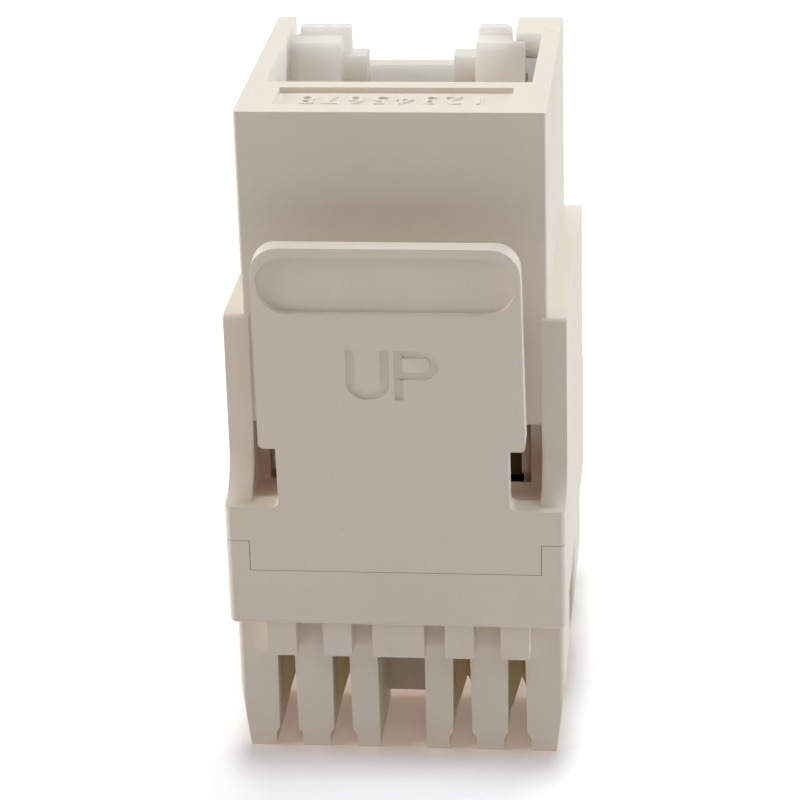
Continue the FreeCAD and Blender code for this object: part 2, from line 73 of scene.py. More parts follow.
# ---------------------------------------------------------------------------------------------
# A keystone jack standing on its wire towers: ivory moulded housing with its spring latch, rear
# block and port insert, and inside them a green board, gilt contacts and tinned wire blades.
# Everything is in metres, in the jack's own frame.
# ---------------------------------------------------------------------------------------------

MM = 0.001

# --- View ------------------------------------------------------------------------------------
VIEW_AZIMUTH = math.radians(6.209)
VIEW_ELEVATION = math.radians(22.543)
VIEW_ROLL = math.radians(-1.609)
VIEW_DISTANCE = 155.65 * MM
VIEW_TARGET = Vector((0, 0, 16.5 * MM))
VIEW_SLIDE = (-0.66 * MM, -1.564 * MM)   # across and up, in the picture's plane
LENS = 139.09                # and the sensor, in the camera's millimetres
SENSOR = 36.0
CLIP = (0.01, 5)             # metres

# --- Soft edges of the mouldings -------------------------------------------------------------
HOUSING_EDGE = 0.13 * MM
LEDGE_EDGE = 0.30 * MM       # front of the collar's top, beside the latch's neck
SEAM_EDGE = 0.02 * MM        # where the housing and the rear block close on each other
REAR_EDGE = 0.12 * MM
INSERT_EDGE = 0.08 * MM
LATCH_EDGE = 0.24 * MM
GRIP_EDGE = 0.12 * MM        # round the dished finger grip
LETTER_EDGE = 0.06 * MM
POST_EDGE = 0.30 * MM        # outer upright corners of the posts, collar and nose
SHARP_ANGLE = math.radians(28)
FLAT = math.radians(2)
MERGE = 0.002 * MM
WELD = 0.1 * MERGE
SEAM_HEIGHTS = (10.2 * MM, 11.95 * MM)
POST_OUTSIDE = 7.0 * MM      # the outer corners lie past this, across
POST_FRONT = -7.9 * MM       # and ahead of this
EDGE_ROWS = 3

# --- Latch, as the part has it ---------------------------------------------------------------
PIVOT = Vector(frame["record"]["behaviour"]["joints"][0]["pos_m"])
LATCH_LEAN = math.radians(5.7)
LATCH_AHEAD = 0.62 * MM
LATCH_THICKNESS = 1.3 * MM
NECK_HALF = 5.52 * MM
COLLAR_TOP = 13.6 * MM
ROOT_BOTTOM = 12.9 * MM
ROOT_TOP = 14.5 * MM         # the neck bends from here up
BEND_LENGTH = 1.5 * MM
BEND_ROWS = 6
FLARE = 0.32 * MM            # fillet from the neck to the collar's top
FLARE_ROWS = 5

# --- Plug's cavity: light comes through its thin walls, and they are painted paler as painted light ---
CAVITY_LOW = Vector((-6.42, -7.25, 12.0)) * MM
CAVITY_HIGH = Vector((6.42, 7.25, 32.1)) * MM
LIGHT_DEPTH = 4.0 * MM       # how far light runs in those walls
LIGHT_SPREAD = (0.85, 0.92, 1.0)

# --- Finger grip, up the latch from the pivot ------------------------------------------------
GRIP_MIDDLE = 11.77 * MM
GRIP_HALF = 4.55 * MM        # of the line between its round ends' centres
GRIP_AROUND = 1.60 * MM      # a little more than the ends' radius

# --- Letters and numbers ---------------------------------------------------------------------
LETTER_FOOT = 5.8 * MM       # up the latch, from the pivot
LETTER_HEIGHT = 2.6 * MM
LETTER_STROKE = 0.42 * MM
LETTER_DEPTH = 0.13 * MM
LETTERS_HALF = 2.4 * MM      # the word lies within this of the middle
U_LEFT = -1.98 * MM
U_WIDTH = 2.04 * MM
P_LEFT = 0.27 * MM
P_WIDTH = 2.10 * MM
BOWL_HEIGHT = 1.12 * MM      # of the P, along the middle of its stroke
CORNER_SHARE = 0.42          # a corner's radius, as a share of the U's width or the bowl's height
CORNER_STEPS = 8
NUMBER_HEIGHT = 1.75 * MM
NUMBER_SPACING = 1.32
NUMBER_RISE = 0.10 * MM
LABEL_MIDDLE = Vector((-0.05, -5.55, 32.25)) * MM
LABEL_TURN = math.pi         # the numbers read from the port's side

# --- Pads on the board -----------------------------------------------------------------------
PAD_RADIUS = 0.44 * MM
PAD_THICKNESS = 0.04 * MM
PAD_SIDES = 24

# --- Colours ---------------------------------------------------------------------------------
IVORY = (0.84, 0.77, 0.67, 1)
IVORY_DEEP = (0.79, 0.71, 0.59, 1)
PAINTED_LIGHT_IVORY = (0.95, 0.865, 0.75, 1)    # paler ivory on the cavity's walls and the insert: painted light
PAINTED_LIGHT_IVORY_DEEP = (0.93, 0.835, 0.71, 1)
INNER_PAINTED_SHADE = (0.52, 0.36, 0.26, 1)    # painted warm shade, brown, low inside the cavity's walls and the insert
INNER_BROWN_TOP = 16.5 * MM
INNER_PALE_FOOT = 22.5 * MM
POCKET_PAINTED_SHADE = (0.56, 0.39, 0.29, 1)   # painted warm shade in the pockets beside the latch's neck
POCKET_MIDDLE = Vector((6.4, -8.4, 14.8)) * MM
POCKET_CORE = 1.0 * MM
POCKET_REACH = 2.6 * MM
POCKET_FRONT = (-9.47 * MM, -9.25 * MM)
POCKET_SIDE = (7.1 * MM, 6.85 * MM)
SPECK = (0.30, 0.22, 0.15, 1)
GILT = (0.85, 0.62, 0.26, 1)
GILT_DEEP = (0.62, 0.41, 0.15, 1)
TINNED = (0.98, 0.88, 0.66, 1)
TINNED_DEEP = (0.88, 0.74, 0.50, 1)
SOLDER_MASK = (0.03, 0.16, 0.07, 1)
SOLDER_MASK_DEEP = (0.02, 0.10, 0.04, 1)
FLOOR_WHITE = (0.84, 0.80, 0.79, 1)
# painted shadow: brown floor close round the towers' feet
FLOOR_PAINTED_SHADOW = (0.72, 0.63, 0.57, 1)
FLOOR_LIFT = (0.36, 0.40, 0.42, 1)
FLOOR_PAINTED_GLOW = (0.17, 0.135, 0.11, 1)   # painted glow under the jack, for light that comes down through the plastic
SKY_WARM = (0.88, 0.78, 0.85, 1)
WHITE = (1, 1, 1, 1)
BLACK = (0, 0, 0, 1)

# --- Skins of the materials ------------------------------------------------------------------
PLASTIC_ROUGHNESS = 0.42
GRAIN_ROUGHNESS = 0.10       # added where the grain is high
PLASTIC_SPECULAR = 0.45
CLOUD_SHARE = 0.35
SPECK_SHARE = 0.6
GILT_ROUGHNESS = 0.24
TINNED_ROUGHNESS = 0.55
DULL_ROUGHNESS = 0.12        # added where the metal is dull
DULL_SHARE = 0.5
STREAK_SHARE = 0.2
MASK_ROUGHNESS = 0.35
FLOOR_ROUGHNESS = 0.9
FLOOR_SPECULAR = 0.2

# --- Floor: where the painted shadow and glow and the lift fade, by the distance from the towers' feet ---
FOOT_SIDE = 7.2 * MM
FOOT_FRONT = 8.8 * MM
FOOT_BACK = 9.5 * MM
SIDE_SHARE = 2.5             # distance counts more at the sides
UNDER_FADE = 1.8 * MM
LIFT_START = 0.2 * MM
LIFT_END = 5.2 * MM
FLOOR_HALF = 400 * MM
FLOOR_TOP = -0.01 * MM

# --- Lamps: name, place in metres, size in metres, power in watts and colour ------------------
SKY_STRENGTH = 0.10
LAMPS = (
    ("overhead", (0.02, 0.15, 0.31), 0.22, 0.65, (0.95, 0.993, 0.96)),
    ("front_top", (0.03, -0.20, 0.27), 0.20, 0.13, (0.98, 0.98, 1)),
    ("right_side", (0.30, 0.02, 0.12), 0.20, 0.49, (0.88, 0.94, 1)),
    ("left_side", (-0.30, -0.035, 0.12), 0.18, 0.67, (1, 0.97, 0.96)),
)


# --- Node trees ------------------------------------------------------------------------------
class Value:
    """A socket that can be used in sums: each operator adds one Math node."""

    def __init__(self, tree, socket):
        self.tree = tree
        self.socket = socket

    def maths(self, operation, first, second):
        node = self.tree.node("ShaderNodeMath", {"operation": operation}, {0: first, 1: second})
        return Value(self.tree, node.outputs[0])

    def __add__(self, other):
        return self.maths("ADD", self, other)

    def __radd__(self, other):
        return self.maths("ADD", other, self)

    def __mul__(self, other):
        return self.maths("MULTIPLY", self, other)

    def __rmul__(self, other):
        return self.maths("MULTIPLY", other, self)

    def __abs__(self):
        return self.maths("ABSOLUTE", self, 0.0)

    def __neg__(self):
        return self.maths("MULTIPLY", self, -1.0)

    def __or__(self, other):
        """The larger of two values."""
        return self.maths("MAXIMUM", self, other)

    def past(self, start):
        """How far the value is past the start, or 0."""
        return self.maths("SUBTRACT", self, start) | 0.0

    def root(self):
        return self.maths("SQRT", self, 0.0)


class Tree:
    """A node tree whose nodes all come from one method."""

    def __init__(self, tree):
        self.tree = tree
        tree.nodes.clear()

    def node(self, kind, settings=None, inputs=None):
        """Add a node: its settings first, then the value or link of each socket."""
        made = self.tree.nodes.new(kind)
        for key, value in (settings or {}).items():
            setattr(made, key, value)
        for key, value in (inputs or {}).items():
            self.feed(made.inputs[key], value)
        return made

    def feed(self, socket, value):
        if isinstance(value, Value):
            value = value.socket
        if isinstance(value, bpy.types.NodeSocket):
            self.tree.links.new(value, socket)
        else:
            socket.default_value = value

    def mix(self, factor, low, high):
        """Colour that runs from low to high as the factor goes from 0 to 1."""
        inputs = {"Factor": factor, 6: low, 7: high}
        return self.node("ShaderNodeMix", {"data_type": "RGBA"}, inputs).outputs[2]


class Finish(Tree):
    """One material, on a Principled shader that reads Object coordinates."""

    def __init__(self, name):
        self.material = bpy.data.materials.new(name)
        self.material.use_nodes = True
        super().__init__(self.material.node_tree)
        self.shader = self.node("ShaderNodeBsdfPrincipled")
        self.node("ShaderNodeOutputMaterial", {}, {"Surface": self.shader.outputs[0]})
        self.place = self.node("ShaderNodeTexCoord").outputs["Object"]

    def noise(self, scale, detail=3.0, roughness=0.55, stretch=(1, 1, 1)):
        mapping = self.node("ShaderNodeMapping", {}, {"Vector": self.place, "Scale": stretch})
        inputs = {
            "Vector": mapping.outputs[0],
            "Scale": scale,
            "Detail": detail,
            "Roughness": roughness,
        }
        return Value(self, self.node("ShaderNodeTexNoise", {}, inputs).outputs["Fac"])

    def ramp(self, value, low, high):
        """0 below low, 1 above high, smooth between them."""
        inputs = {"Value": value, "From Min": low, "From Max": high}
        made = self.node("ShaderNodeMapRange", {"interpolation_type": "SMOOTHSTEP"}, inputs)
        return Value(self, made.outputs[0])

    def in_pocket(self):
        """1 in the two pockets beside the latch's neck, fading to 0 round them: where shade is
        painted.
        """
        place = self.node("ShaderNodeSeparateXYZ", {}, {0: self.place}).outputs
        side = abs(Value(self, place["X"]))
        across = side + -POCKET_MIDDLE.x
        along = Value(self, place["Y"]) + -POCKET_MIDDLE.y
        over = Value(self, place["Z"]) + -POCKET_MIDDLE.z
        distance = (across * across + along * along + over * over).root()
        inside = self.ramp(distance, POCKET_REACH, POCKET_CORE)
        inside = inside * self.ramp(side, *POCKET_SIDE)
        return inside * self.ramp(Value(self, place["Y"]), *POCKET_FRONT)

    def bump(self, height, strength, distance):
        inputs = {"Height": height, "Strength": strength, "Distance": distance}
        return self.node("ShaderNodeBump", {}, inputs).outputs[0]

    def set(self, **inputs):
        """Feed the shader's own sockets, named with underscores for spaces."""
        for key, value in inputs.items():
            self.feed(self.shader.inputs[key.replace("_", " ")], value)
        return self.material


def moulded_plastic(name, light, deep, depth=0.0):
    """Ivory moulding: faint clouding, rare specks, a fine grain and a satin skin.

    Light runs through it as far as the depth says, and low inside its colour is painted brown as
    shade. A plastic with no depth gets that painted shade only in the pockets beside the latch's
    neck.
    """
    finish = Finish(name)
    cloud = finish.ramp(finish.noise(scale=180, detail=4), low=0.35, high=0.7)
    speck = finish.ramp(finish.noise(scale=3400, detail=1), low=0.81, high=0.85)
    grain = finish.noise(scale=9000, detail=2, roughness=0.6)
    ripple = finish.noise(scale=700, detail=2)
    colour = finish.mix(CLOUD_SHARE * cloud, light, deep)
    if depth:
        height = finish.node("ShaderNodeSeparateXYZ", {}, {0: finish.place}).outputs["Z"]
        # Painted shade: brown below INNER_BROWN_TOP, fading out by INNER_PALE_FOOT.
        near = finish.ramp(height, INNER_BROWN_TOP, INNER_PALE_FOOT)
        colour = finish.mix(near, INNER_PAINTED_SHADE, colour)
    else:
        # Painted shade: brown in the pockets beside the latch's neck.
        colour = finish.mix(finish.in_pocket(), colour, POCKET_PAINTED_SHADE)
    return finish.set(
        Base_Color=finish.mix(SPECK_SHARE * speck, colour, SPECK),
        Roughness=PLASTIC_ROUGHNESS + GRAIN_ROUGHNESS * grain,
        Specular_IOR_Level=PLASTIC_SPECULAR,
        Subsurface_Weight=1.0 if depth else 0.0,
        Subsurface_Radius=LIGHT_SPREAD,
        Subsurface_Scale=depth,
        Normal=finish.bump(0.6 * grain + 0.4 * ripple, strength=0.25, distance=0.012 * MM),
    )


def plated_metal(name, colour, deep, roughness):
    """Plated strip: drawn streaks along its length and slightly dulled patches."""
    finish = Finish(name)
    streaks = finish.noise(scale=600, detail=2, stretch=(15, 15, 1))
    dull = finish.ramp(finish.noise(scale=900, detail=3), low=0.4, high=0.75)
    return finish.set(
        Base_Color=finish.mix(DULL_SHARE * dull + STREAK_SHARE * streaks, colour, deep),
        Metallic=1.0,
        Roughness=roughness + DULL_ROUGHNESS * dull,
        Normal=finish.bump(streaks, strength=0.2, distance=0.004 * MM),
    )


def board_mask():
    """Green solder mask over buried tracks."""
    finish = Finish("solder_mask")
    tracks = finish.ramp(finish.noise(scale=900, detail=1), low=0.48, high=0.52)
    return finish.set(
        Base_Color=finish.mix(tracks, SOLDER_MASK, SOLDER_MASK_DEEP),
        Roughness=MASK_ROUGHNESS,
        Normal=finish.bump(tracks, strength=0.4, distance=0.02 * MM),
    )


def floor_card():
    """White card that takes the jack's shadow.

    Away from the jack a lift hides its edge from the camera. Close round the towers' feet its
    colour is painted brown as shadow, and under the jack it glows a little: painted light, for
    light that comes down through the towers.
    """
    finish = Finish("pale_floor")
    seen = Value(finish, finish.node("ShaderNodeLightPath").outputs["Is Camera Ray"])
    place = finish.node("ShaderNodeSeparateXYZ", {}, {0: finish.place}).outputs
    across = SIDE_SHARE * abs(Value(finish, place["X"])).past(FOOT_SIDE)
    ahead = (-Value(finish, place["Y"])).past(FOOT_FRONT)
    behind = Value(finish, place["Y"]).past(FOOT_BACK)
    distance = (across * across + ahead * ahead + behind * behind).root()
    beside = finish.ramp(distance, 0.0, UNDER_FADE)
    away = finish.ramp(distance, LIFT_START, LIFT_END)
    lift = finish.mix(seen * away, BLACK, FLOOR_LIFT)
    return finish.set(
        # Painted shadow: brown round the towers' feet.
        Base_Color=finish.mix(beside, FLOOR_PAINTED_SHADOW, FLOOR_WHITE),
        Roughness=FLOOR_ROUGHNESS,
        Specular_IOR_Level=FLOOR_SPECULAR,
        # Painted light: under the jack the card glows; away from it the camera sees the lift.
        Emission_Color=finish.mix(beside, FLOOR_PAINTED_GLOW, lift),
        Emission_Strength=1.0,
    )


ivory = moulded_plastic("ivory_moulding", IVORY, IVORY_DEEP)
# Paler copy of the ivory: painted light on the cavity's walls and the insert, with real light
# running through them too.
ivory_thin_painted_light = moulded_plastic("ivory_thin_walls", PAINTED_LIGHT_IVORY, PAINTED_LIGHT_IVORY_DEEP, LIGHT_DEPTH)
gilt = plated_metal("gilt_strip", GILT, GILT_DEEP, GILT_ROUGHNESS)
tinned = plated_metal("tinned_strip", TINNED, TINNED_DEEP, TINNED_ROUGHNESS)
mask = board_mask()


# --- Meshes ----------------------------------------------------------------------------------
def new_piece(name, shape):
    """An object at the origin from a bmesh, which it uses up."""
    mesh = bpy.data.meshes.new(name)
    shape.to_mesh(mesh)
    shape.free()
    piece = bpy.data.objects.new(name, mesh)
    bpy.context.scene.collection.objects.link(piece)
    return piece


def bake_modifiers(piece):
    """Turn the piece and its modifiers into a plain mesh."""
    depsgraph = bpy.context.evaluated_depsgraph_get()
    finished = bpy.data.meshes.new_from_object(piece.evaluated_get(depsgraph))
    piece.modifiers.clear()
    piece.data = finished
    return piece


def clean(shape):
    """Merge a bmesh's doubles and make its flat faces whole."""
    bmesh.ops.remove_doubles(shape, verts=shape.verts, dist=MERGE)
    bmesh.ops.dissolve_limit(shape, angle_limit=FLAT, verts=shape.verts, edges=shape.edges)


def cad_copy(node, name):
    """A new piece with a CAD piece's cleaned mesh."""
    shape = bmesh.new()
    shape.from_mesh(frame["nodes"][node].data)
    clean(shape)
    return new_piece(name, shape)


def boolean(piece, other, operation):
    """Join or cut one closed piece with another, which is then deleted."""
    modifier = piece.modifiers.new(operation.lower(), "BOOLEAN")
    modifier.operation = operation
    modifier.solver = "EXACT"
    modifier.object = other
    bake_modifiers(piece)
    bpy.data.objects.remove(other)


def round_edges(piece, widest, width_of):
    """Round each sharp edge by the width that width_of gives for it, and even the normals."""
    shape = bmesh.new()
    shape.from_mesh(piece.data)
    bmesh.ops.remove_doubles(shape, verts=shape.verts, dist=MERGE)
    weight = shape.edges.layers.float.new("bevel_weight_edge")
    for edge in shape.edges:
        sharp = len(edge.link_faces) == 2 and edge.calc_face_angle() > SHARP_ANGLE
        width = width_of(edge) if sharp else 0
        edge[weight] = width / widest
        edge.smooth = not (sharp and width == 0)
    for face in shape.faces:
        face.smooth = True
    shape.to_mesh(piece.data)
    shape.free()
    bevel = piece.modifiers.new("soft_edges", "BEVEL")
    bevel.width = widest
    bevel.segments = EDGE_ROWS
    bevel.limit_method = "WEIGHT"
    normals = piece.modifiers.new("even_normals", "WEIGHTED_NORMAL")
    normals.keep_sharp = True
    normals.weight = 100
    return bake_modifiers(piece)


def dress(piece, material):
    piece.data.materials.clear()
    piece.data.materials.append(material)


def stand_for(piece, node, material=ivory):
    """Give an ivory piece its finish, its body and the CAD piece that it stands for."""
    dress(piece, material)
    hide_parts(node)
    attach(piece, frame["nodes"][node]["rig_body"])


def edge_middle(edge):
    return (edge.verts[0].co + edge.verts[1].co) / 2


def on_seam(edge):
    """True where both ends lie between the rear block's seam and its rails' tops."""
    return all(SEAM_HEIGHTS[0] < vert.co.z < SEAM_HEIGHTS[1] for vert in edge.verts)


# --- Patterns: Geometry Nodes trees with named sizes -----------------------------------------
class Pattern(Tree):
    """One Geometry Nodes tree, with a named input for each size."""

    def __init__(self, name, sizes):
        group = bpy.data.node_groups.new(name, "GeometryNodeTree")
        super().__init__(group)
        group.interface.new_socket("Path", in_out="INPUT", socket_type="NodeSocketGeometry")
        for size in sizes:
            group.interface.new_socket(size, in_out="INPUT", socket_type="NodeSocketFloat")
        group.interface.new_socket("Pieces", in_out="OUTPUT", socket_type="NodeSocketGeometry")
        self.inputs = self.node("NodeGroupInput").outputs

    def finish(self, geometry, material):
        real = self.node("GeometryNodeRealizeInstances", {}, {0: geometry})
        inputs = {"Geometry": real.outputs[0], "Material": material}
        dressed = self.node("GeometryNodeSetMaterial", {}, inputs)
        self.node("NodeGroupOutput", {}, {0: dressed.outputs[0]})
        return self.tree


def grow(piece, tree, sizes):
    """Run a pattern on a piece with these sizes and keep the result as its mesh."""
    modifier = piece.modifiers.new(tree.name, "NODES")
    modifier.node_group = tree
    for item in tree.interface.items_tree:
        if item.in_out == "INPUT" and item.name in sizes:
            modifier[item.identifier] = sizes[item.name]
    return bake_modifiers(piece)


def stroke_pattern():
    """A square-ended bar along each path, for cutting letters."""
    pattern = Pattern("letter_strokes", ["Stroke", "Depth"])
    curve = pattern.node("GeometryNodeMeshToCurve", {}, {0: pattern.inputs["Path"]})
    upright = pattern.node("GeometryNodeSetCurveNormal", {"mode": "Z_UP"}, {0: curve.outputs[0]})
    sizes = {"Width": pattern.inputs["Stroke"], "Height": pattern.inputs["Depth"]}
    section = pattern.node("GeometryNodeCurvePrimitiveQuadrilateral", {}, sizes)
    inputs = {"Curve": upright.outputs[0], "Profile Curve": section.outputs[0], "Fill Caps": True}
    bars = pattern.node("GeometryNodeCurveToMesh", {}, inputs)
    return pattern.finish(bars.outputs[0], ivory)


def number_pattern():
    """The contacts' numbers in a row, each a raised closed solid."""
    pattern = Pattern("contact_numbers", ["Height", "Spacing", "Rise"])
    settings = {"align_x": "CENTER", "align_y": "MIDDLE"}
    inputs = {
        "String": "12345678",
        "Size": pattern.inputs["Height"],
        "Character Spacing": pattern.inputs["Spacing"],
    }
    curves = pattern.node("GeometryNodeStringToCurves", settings, inputs)
    real = pattern.node("GeometryNodeRealizeInstances", {}, {0: curves.outputs[0]})
    flat = pattern.node("GeometryNodeFillCurve", {"mode": "NGONS"}, {0: real.outputs[0]})
    inputs = {"Mesh": flat.outputs[0], "Offset Scale": pattern.inputs["Rise"], "Individual": False}
    raised = pattern.node("GeometryNodeExtrudeMesh", {}, inputs)
    below = pattern.node("GeometryNodeFlipFaces", {}, {0: flat.outputs[0]})
    both = pattern.node("GeometryNodeJoinGeometry")
    for part in (raised, below):
        pattern.tree.links.new(part.outputs[0], both.inputs[0])
    inputs = {0: both.outputs[0], "Distance": WELD}
    closed = pattern.node("GeometryNodeMergeByDistance", {}, inputs)
    return pattern.finish(closed.outputs[0], ivory)


def pad_pattern():
    """A flat plated disc at each tail that goes through the board."""
    pattern = Pattern("board_pads", ["Radius", "Thickness"])
    inputs = {
        "Vertices": PAD_SIDES,
        "Radius": pattern.inputs["Radius"],
        "Depth": pattern.inputs["Thickness"],
    }
    pad = pattern.node("GeometryNodeMeshCylinder", {}, inputs)
    inputs = {"Points": pattern.inputs["Path"], "Instance": pad.outputs["Mesh"]}
    pads = pattern.node("GeometryNodeInstanceOnPoints", {}, inputs)
    return pattern.finish(pads.outputs[0], gilt)


# --- Latch and its root ----------------------------------------------------------------------
def latch_front(z):
    """Place along Y of the latch's leaning front face at a height."""
    return PIVOT.y - LATCH_AHEAD / math.cos(LATCH_LEAN) - (z - PIVOT.z) * math.tan(LATCH_LEAN)


def neck_root():
    """Foot of the neck, flared by a fillet that meets the collar's top."""
    collar_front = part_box("front_housing")[0].y
    thickness = LATCH_THICKNESS / math.cos(LATCH_LEAN)
    heights = [ROOT_BOTTOM]
    for row in range(FLARE_ROWS + 1):
        heights.append(COLLAR_TOP + FLARE * (1 - math.cos(row / FLARE_ROWS * math.pi / 2)))
    heights.append(ROOT_TOP)
    shape = bmesh.new()
    rings = []
    for z in heights:
        climb = min(max((z - COLLAR_TOP) / FLARE, 0), 1)
        flare = FLARE * (1 - math.sqrt(1 - (1 - climb) ** 2))
        half = NECK_HALF + flare
        front = min(latch_front(z), collar_front)
        back = latch_front(z) + thickness + flare
        corners = ((-half, front), (half, front), (half, back), (-half, back))
        rings.append([shape.verts.new((x, y, z)) for x, y in corners])
    shape.faces.new(list(reversed(rings[0])))
    shape.faces.new(rings[-1])
    for low, high in zip(rings, rings[1:]):
        for index in range(4):
            after = (index + 1) % 4
            shape.faces.new((low[index], low[after], high[after], high[index]))
    return new_piece("neck_root", shape)


def housing_edge(edge):
    """The seam stays crisp, the ledges beside the neck are soft, and the bend's cut is left."""
    middle = edge_middle(edge)
    collar_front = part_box("front_housing")[0].y
    if all(abs(vert.co.z - ROOT_TOP) < MERGE for vert in edge.verts):
        return 0
    if on_seam(edge):
        return SEAM_EDGE
    if abs(middle.z - COLLAR_TOP) < MERGE and abs(middle.y - collar_front) < MERGE:
        return LEDGE_EDGE
    upright = abs(edge.verts[0].co.z - edge.verts[1].co.z) > MM
    on_corner = abs(middle.x) > POST_OUTSIDE and middle.y < POST_FRONT
    return POST_EDGE if upright and on_corner else HOUSING_EDGE


def housing_moulding():
    """Front housing with the root of the latch's neck moulded on."""
    piece = cad_copy("front_housing", "housing_moulding")
    boolean(piece, neck_root(), "UNION")
    shape = bmesh.new()
    shape.from_mesh(piece.data)
    clean(shape)
    shape.to_mesh(piece.data)
    shape.free()
    round_edges(piece, LEDGE_EDGE, housing_edge)
    stand_for(piece, "front_housing")
    # Faces inside the cavity take the paler, painted-light ivory.
    piece.data.materials.append(ivory_thin_painted_light)
    for face in piece.data.polygons:
        ranges = zip(CAVITY_LOW, face.center, CAVITY_HIGH)
        face.material_index = int(all(low < place < high for low, place, high in ranges))


def rounded_path(corners, radius):
    """Path through square corners, with the inner ones rounded."""
    corners = [Vector(corner) for corner in corners]
    path = [corners[0]]
    for before, corner, after in zip(corners, corners[1:], corners[2:]):
        back = (before - corner).normalized() * radius
        on = (after - corner).normalized() * radius
        for step in range(CORNER_STEPS + 1):
            turn = math.pi / 2 * step / CORNER_STEPS
            path.append(corner + back * (1 - math.sin(turn)) + on * (1 - math.cos(turn)))
    return path + [corners[-1]]


def letter_u(left, width, foot, height):
    """Path of a U: down, across its foot and up."""
    right = left + width
    top = foot + height
    corners = ((left, top), (left, foot), (right, foot), (right, top))
    return [rounded_path(corners, CORNER_SHARE * width)]


def letter_p(left, width, foot, height):
    """Paths of a P: its stem, and its bowl."""
    right = left + width
    top = foot + height
    middle = top - BOWL_HEIGHT
    stem = [(left, foot - LETTER_STROKE / 2), (left, top + LETTER_STROKE / 2)]
    corners = ((left, top), (right, top), (right, middle), (left, middle))
    return [stem, rounded_path(corners, CORNER_SHARE * BOWL_HEIGHT)]


def letter_cutters():
    """Bars along the strokes of UP, laid in the latch's front face."""
    inset = LETTER_STROKE / 2
    foot = LETTER_FOOT + inset
    height = LETTER_HEIGHT - LETTER_STROKE
    u = letter_u(U_LEFT + inset, U_WIDTH - LETTER_STROKE, foot, height)
    p = letter_p(P_LEFT + inset, P_WIDTH - LETTER_STROKE, foot, height)
    for end in (u[0][0], u[0][-1]):
        end.y += inset
    turn = Matrix.Translation(PIVOT) @ Matrix.Rotation(LATCH_LEAN, 4, "X")
    stand = turn @ Matrix.Translation((0, -LATCH_AHEAD, 0)) @ Matrix.Rotation(math.pi / 2, 4, "X")
    cutters = []
    tree = stroke_pattern()
    for path in u + p:
        shape = bmesh.new()
        verts = [shape.verts.new((x, y, 0)) for x, y in path]
        for first, second in zip(verts, verts[1:]):
            shape.edges.new((first, second))
        cutter = new_piece("stroke", shape)
        grow(cutter, tree, {"Stroke": LETTER_STROKE, "Depth": 2 * LETTER_DEPTH})
        cutter.data.transform(stand)
        cutters.append(cutter)
    return cutters


def latch_edge(edge):
    """The letters and the grip are crisper than the rest, and the root's cut stays as it is."""
    if all(abs(vert.co.z - ROOT_TOP) < MERGE for vert in edge.verts):
        return 0
    middle = edge_middle(edge)
    up = (middle.z - PIVOT.z) / math.cos(LATCH_LEAN)
    above = up - LETTER_FOOT - LETTER_HEIGHT / 2
    if abs(middle.x) < LETTERS_HALF and abs(above) < LETTER_HEIGHT:
        return LETTER_EDGE
    beside = max(abs(middle.x) - GRIP_HALF, 0)
    return GRIP_EDGE if math.hypot(beside, up - GRIP_MIDDLE) < GRIP_AROUND else LATCH_EDGE


def latch_moulding():
    """Latch with its engraved word, cut at the root, where it bends out of the collar."""
    piece = cad_copy("latch_arm", "latch_moulding")
    for cutter in letter_cutters():
        boolean(piece, cutter, "DIFFERENCE")
    shape = bmesh.new()
    shape.from_mesh(piece.data)
    clean(shape)
    for row in range(BEND_ROWS + 1):
        everything = shape.verts[:] + shape.edges[:] + shape.faces[:]
        place = (0, 0, ROOT_TOP + BEND_LENGTH * row / BEND_ROWS)
        bmesh.ops.bisect_plane(
            shape, geom=everything, plane_co=place, plane_no=(0, 0, 1), clear_inner=row == 0
        )
    open_edges = [edge for edge in shape.edges if edge.is_boundary]
    bmesh.ops.holes_fill(shape, edges=open_edges)
    shape.to_mesh(piece.data)
    shape.free()
    round_edges(piece, LATCH_EDGE, latch_edge)
    dress(piece, ivory)
    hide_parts("latch_arm")
    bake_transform(piece)


# --- Rear block, port insert and small repeated pieces ---------------------------------------
def plain_moulding(node, name, width, material=ivory):
    """Rounded copy of a moulding, crisp at the seam."""
    piece = cad_copy(node, name)
    round_edges(piece, width, lambda edge: SEAM_EDGE if on_seam(edge) else width)
    stand_for(piece, node, material)


def contact_numbers():
    """Numbers 1 to 8 raised in the recess above the contacts."""
    piece = new_piece("contact_numbers", bmesh.new())
    sizes = {"Height": NUMBER_HEIGHT, "Spacing": NUMBER_SPACING, "Rise": NUMBER_RISE}
    grow(piece, number_pattern(), sizes)
    turn = Matrix.Rotation(LABEL_TURN, 4, "Z")
    piece.data.transform(Matrix.Translation(LABEL_MIDDLE) @ turn)
    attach(piece, "jack_body")


def joint_place(name):
    """Place of a joint."""
    found = [joint for joint in frame["joints"] if joint["name"] == name]
    return Vector(found[0]["pos_m"])


def board_pads():
    """Plated pads on the board: above it at the blades' tails and below it at the contacts'."""
    board_low, board_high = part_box("circuit_board")
    shape = bmesh.new()
    for node in frame["nodes"]:
        low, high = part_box(node)
        if node.startswith("wire_blade"):
            middle = (low + high) / 2
            shape.verts.new((middle.x, middle.y, board_high.z + PAD_THICKNESS / 2))
        elif node.startswith("contact"):
            tail = Vector((low + high) / 2)
            tail.y = joint_place(node + "_flex").y
            shape.verts.new((tail.x, tail.y, board_low.z - PAD_THICKNESS / 2))
    piece = new_piece("board_pads", shape)
    grow(piece, pad_pattern(), {"Radius": PAD_RADIUS, "Thickness": PAD_THICKNESS})
    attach(piece, "jack_body")


housing_moulding()
latch_moulding()
plain_moulding("rear_block", "rear_moulding", REAR_EDGE)
plain_moulding("port_insert", "insert_moulding", INSERT_EDGE, ivory_thin_painted_light)
contact_numbers()
board_pads()

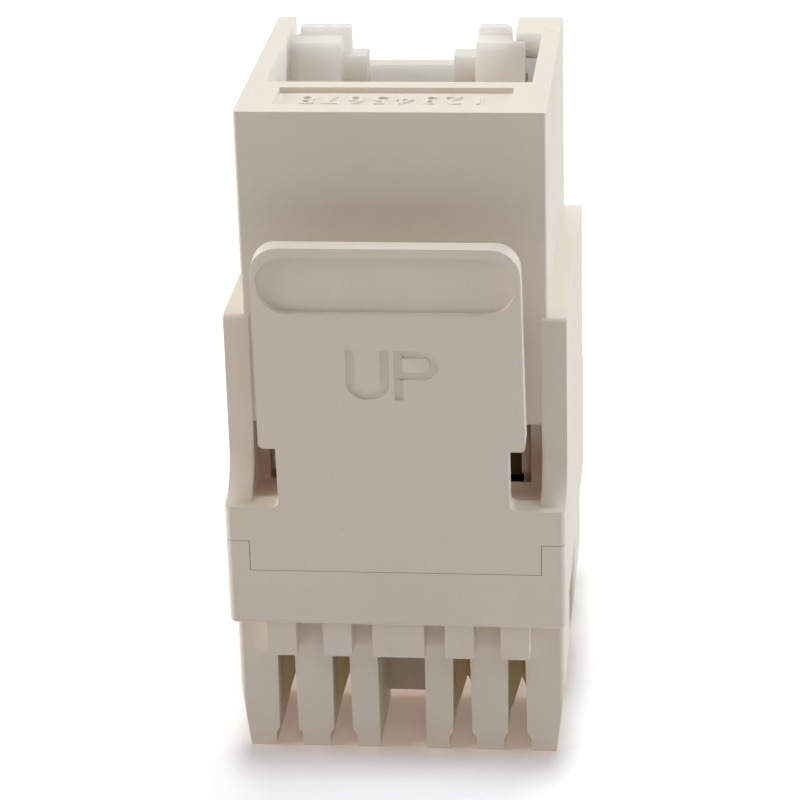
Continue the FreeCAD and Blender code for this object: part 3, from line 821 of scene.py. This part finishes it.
for node, piece in frame["nodes"].items():
    if node.startswith("contact"):
        dress(piece, gilt)
    elif node.startswith("wire_blade"):
        dress(piece, tinned)
    elif node == "circuit_board":
        dress(piece, mask)


# --- Floor, light and camera -----------------------------------------------------------------
def pale_floor():
    """Wide card just below the towers' tips."""
    shape = bmesh.new()
    corners = ((-1, -1), (1, -1), (1, 1), (-1, 1))
    shape.faces.new([
        shape.verts.new((x * FLOOR_HALF, y * FLOOR_HALF, FLOOR_TOP)) for x, y in corners
    ])
    floor = new_piece("pale_floor", shape)
    dress(floor, floor_card())


def white_world(strength):
    """White to the camera and in reflections, and a weaker even light on the object."""
    world = bpy.data.worlds.new("studio")
    bpy.context.scene.world = world
    world.use_nodes = True
    sky = Tree(world.node_tree)
    path = sky.node("ShaderNodeLightPath").outputs
    seen = Value(sky, path["Is Camera Ray"]) | Value(sky, path["Is Glossy Ray"])
    seen = seen | Value(sky, path["Is Transmission Ray"])
    level = sky.node("ShaderNodeMapRange", {}, {"Value": seen, "To Min": strength, "To Max": 1.0})
    inputs = {"Color": sky.mix(seen, SKY_WARM, WHITE), "Strength": level.outputs[0]}
    background = sky.node("ShaderNodeBackground", {}, inputs)
    sky.node("ShaderNodeOutputWorld", {}, {"Surface": background.outputs[0]})


def softbox(name, place, size, power, colour):
    """Square lamp that faces the middle of the jack."""
    light = bpy.data.lights.new(name, "AREA")
    light.size = size
    light.energy = power
    light.color = colour
    lamp = bpy.data.objects.new(name, light)
    bpy.context.scene.collection.objects.link(lamp)
    lamp.location = place
    lamp.rotation_euler = (VIEW_TARGET - Vector(place)).to_track_quat("-Z", "Y").to_euler()


def set_camera():
    """Camera at its azimuth, elevation, roll and distance from the middle of the jack."""
    back = Vector((
        math.sin(VIEW_AZIMUTH) * math.cos(VIEW_ELEVATION),
        -math.cos(VIEW_AZIMUTH) * math.cos(VIEW_ELEVATION),
        math.sin(VIEW_ELEVATION),
    ))
    right = Vector((math.cos(VIEW_AZIMUTH), math.sin(VIEW_AZIMUTH), 0))
    up = back.cross(right)
    across = math.cos(VIEW_ROLL) * right + math.sin(VIEW_ROLL) * up
    over = math.cos(VIEW_ROLL) * up - math.sin(VIEW_ROLL) * right
    data = bpy.data.cameras.new("view")
    data.sensor_width = SENSOR
    data.lens = LENS
    data.clip_start, data.clip_end = CLIP
    camera = bpy.data.objects.new("view", data)
    bpy.context.scene.collection.objects.link(camera)
    turn = Matrix((across, over, back)).transposed().to_4x4()
    place = VIEW_TARGET + back * VIEW_DISTANCE + across * VIEW_SLIDE[0] + over * VIEW_SLIDE[1]
    camera.matrix_world = Matrix.Translation(place) @ turn
    bpy.context.scene.camera = camera


set_camera()
pale_floor()
white_world(SKY_STRENGTH)
for lamp in LAMPS:
    softbox(*lamp)
bpy.context.scene.view_settings.view_transform = "Standard"
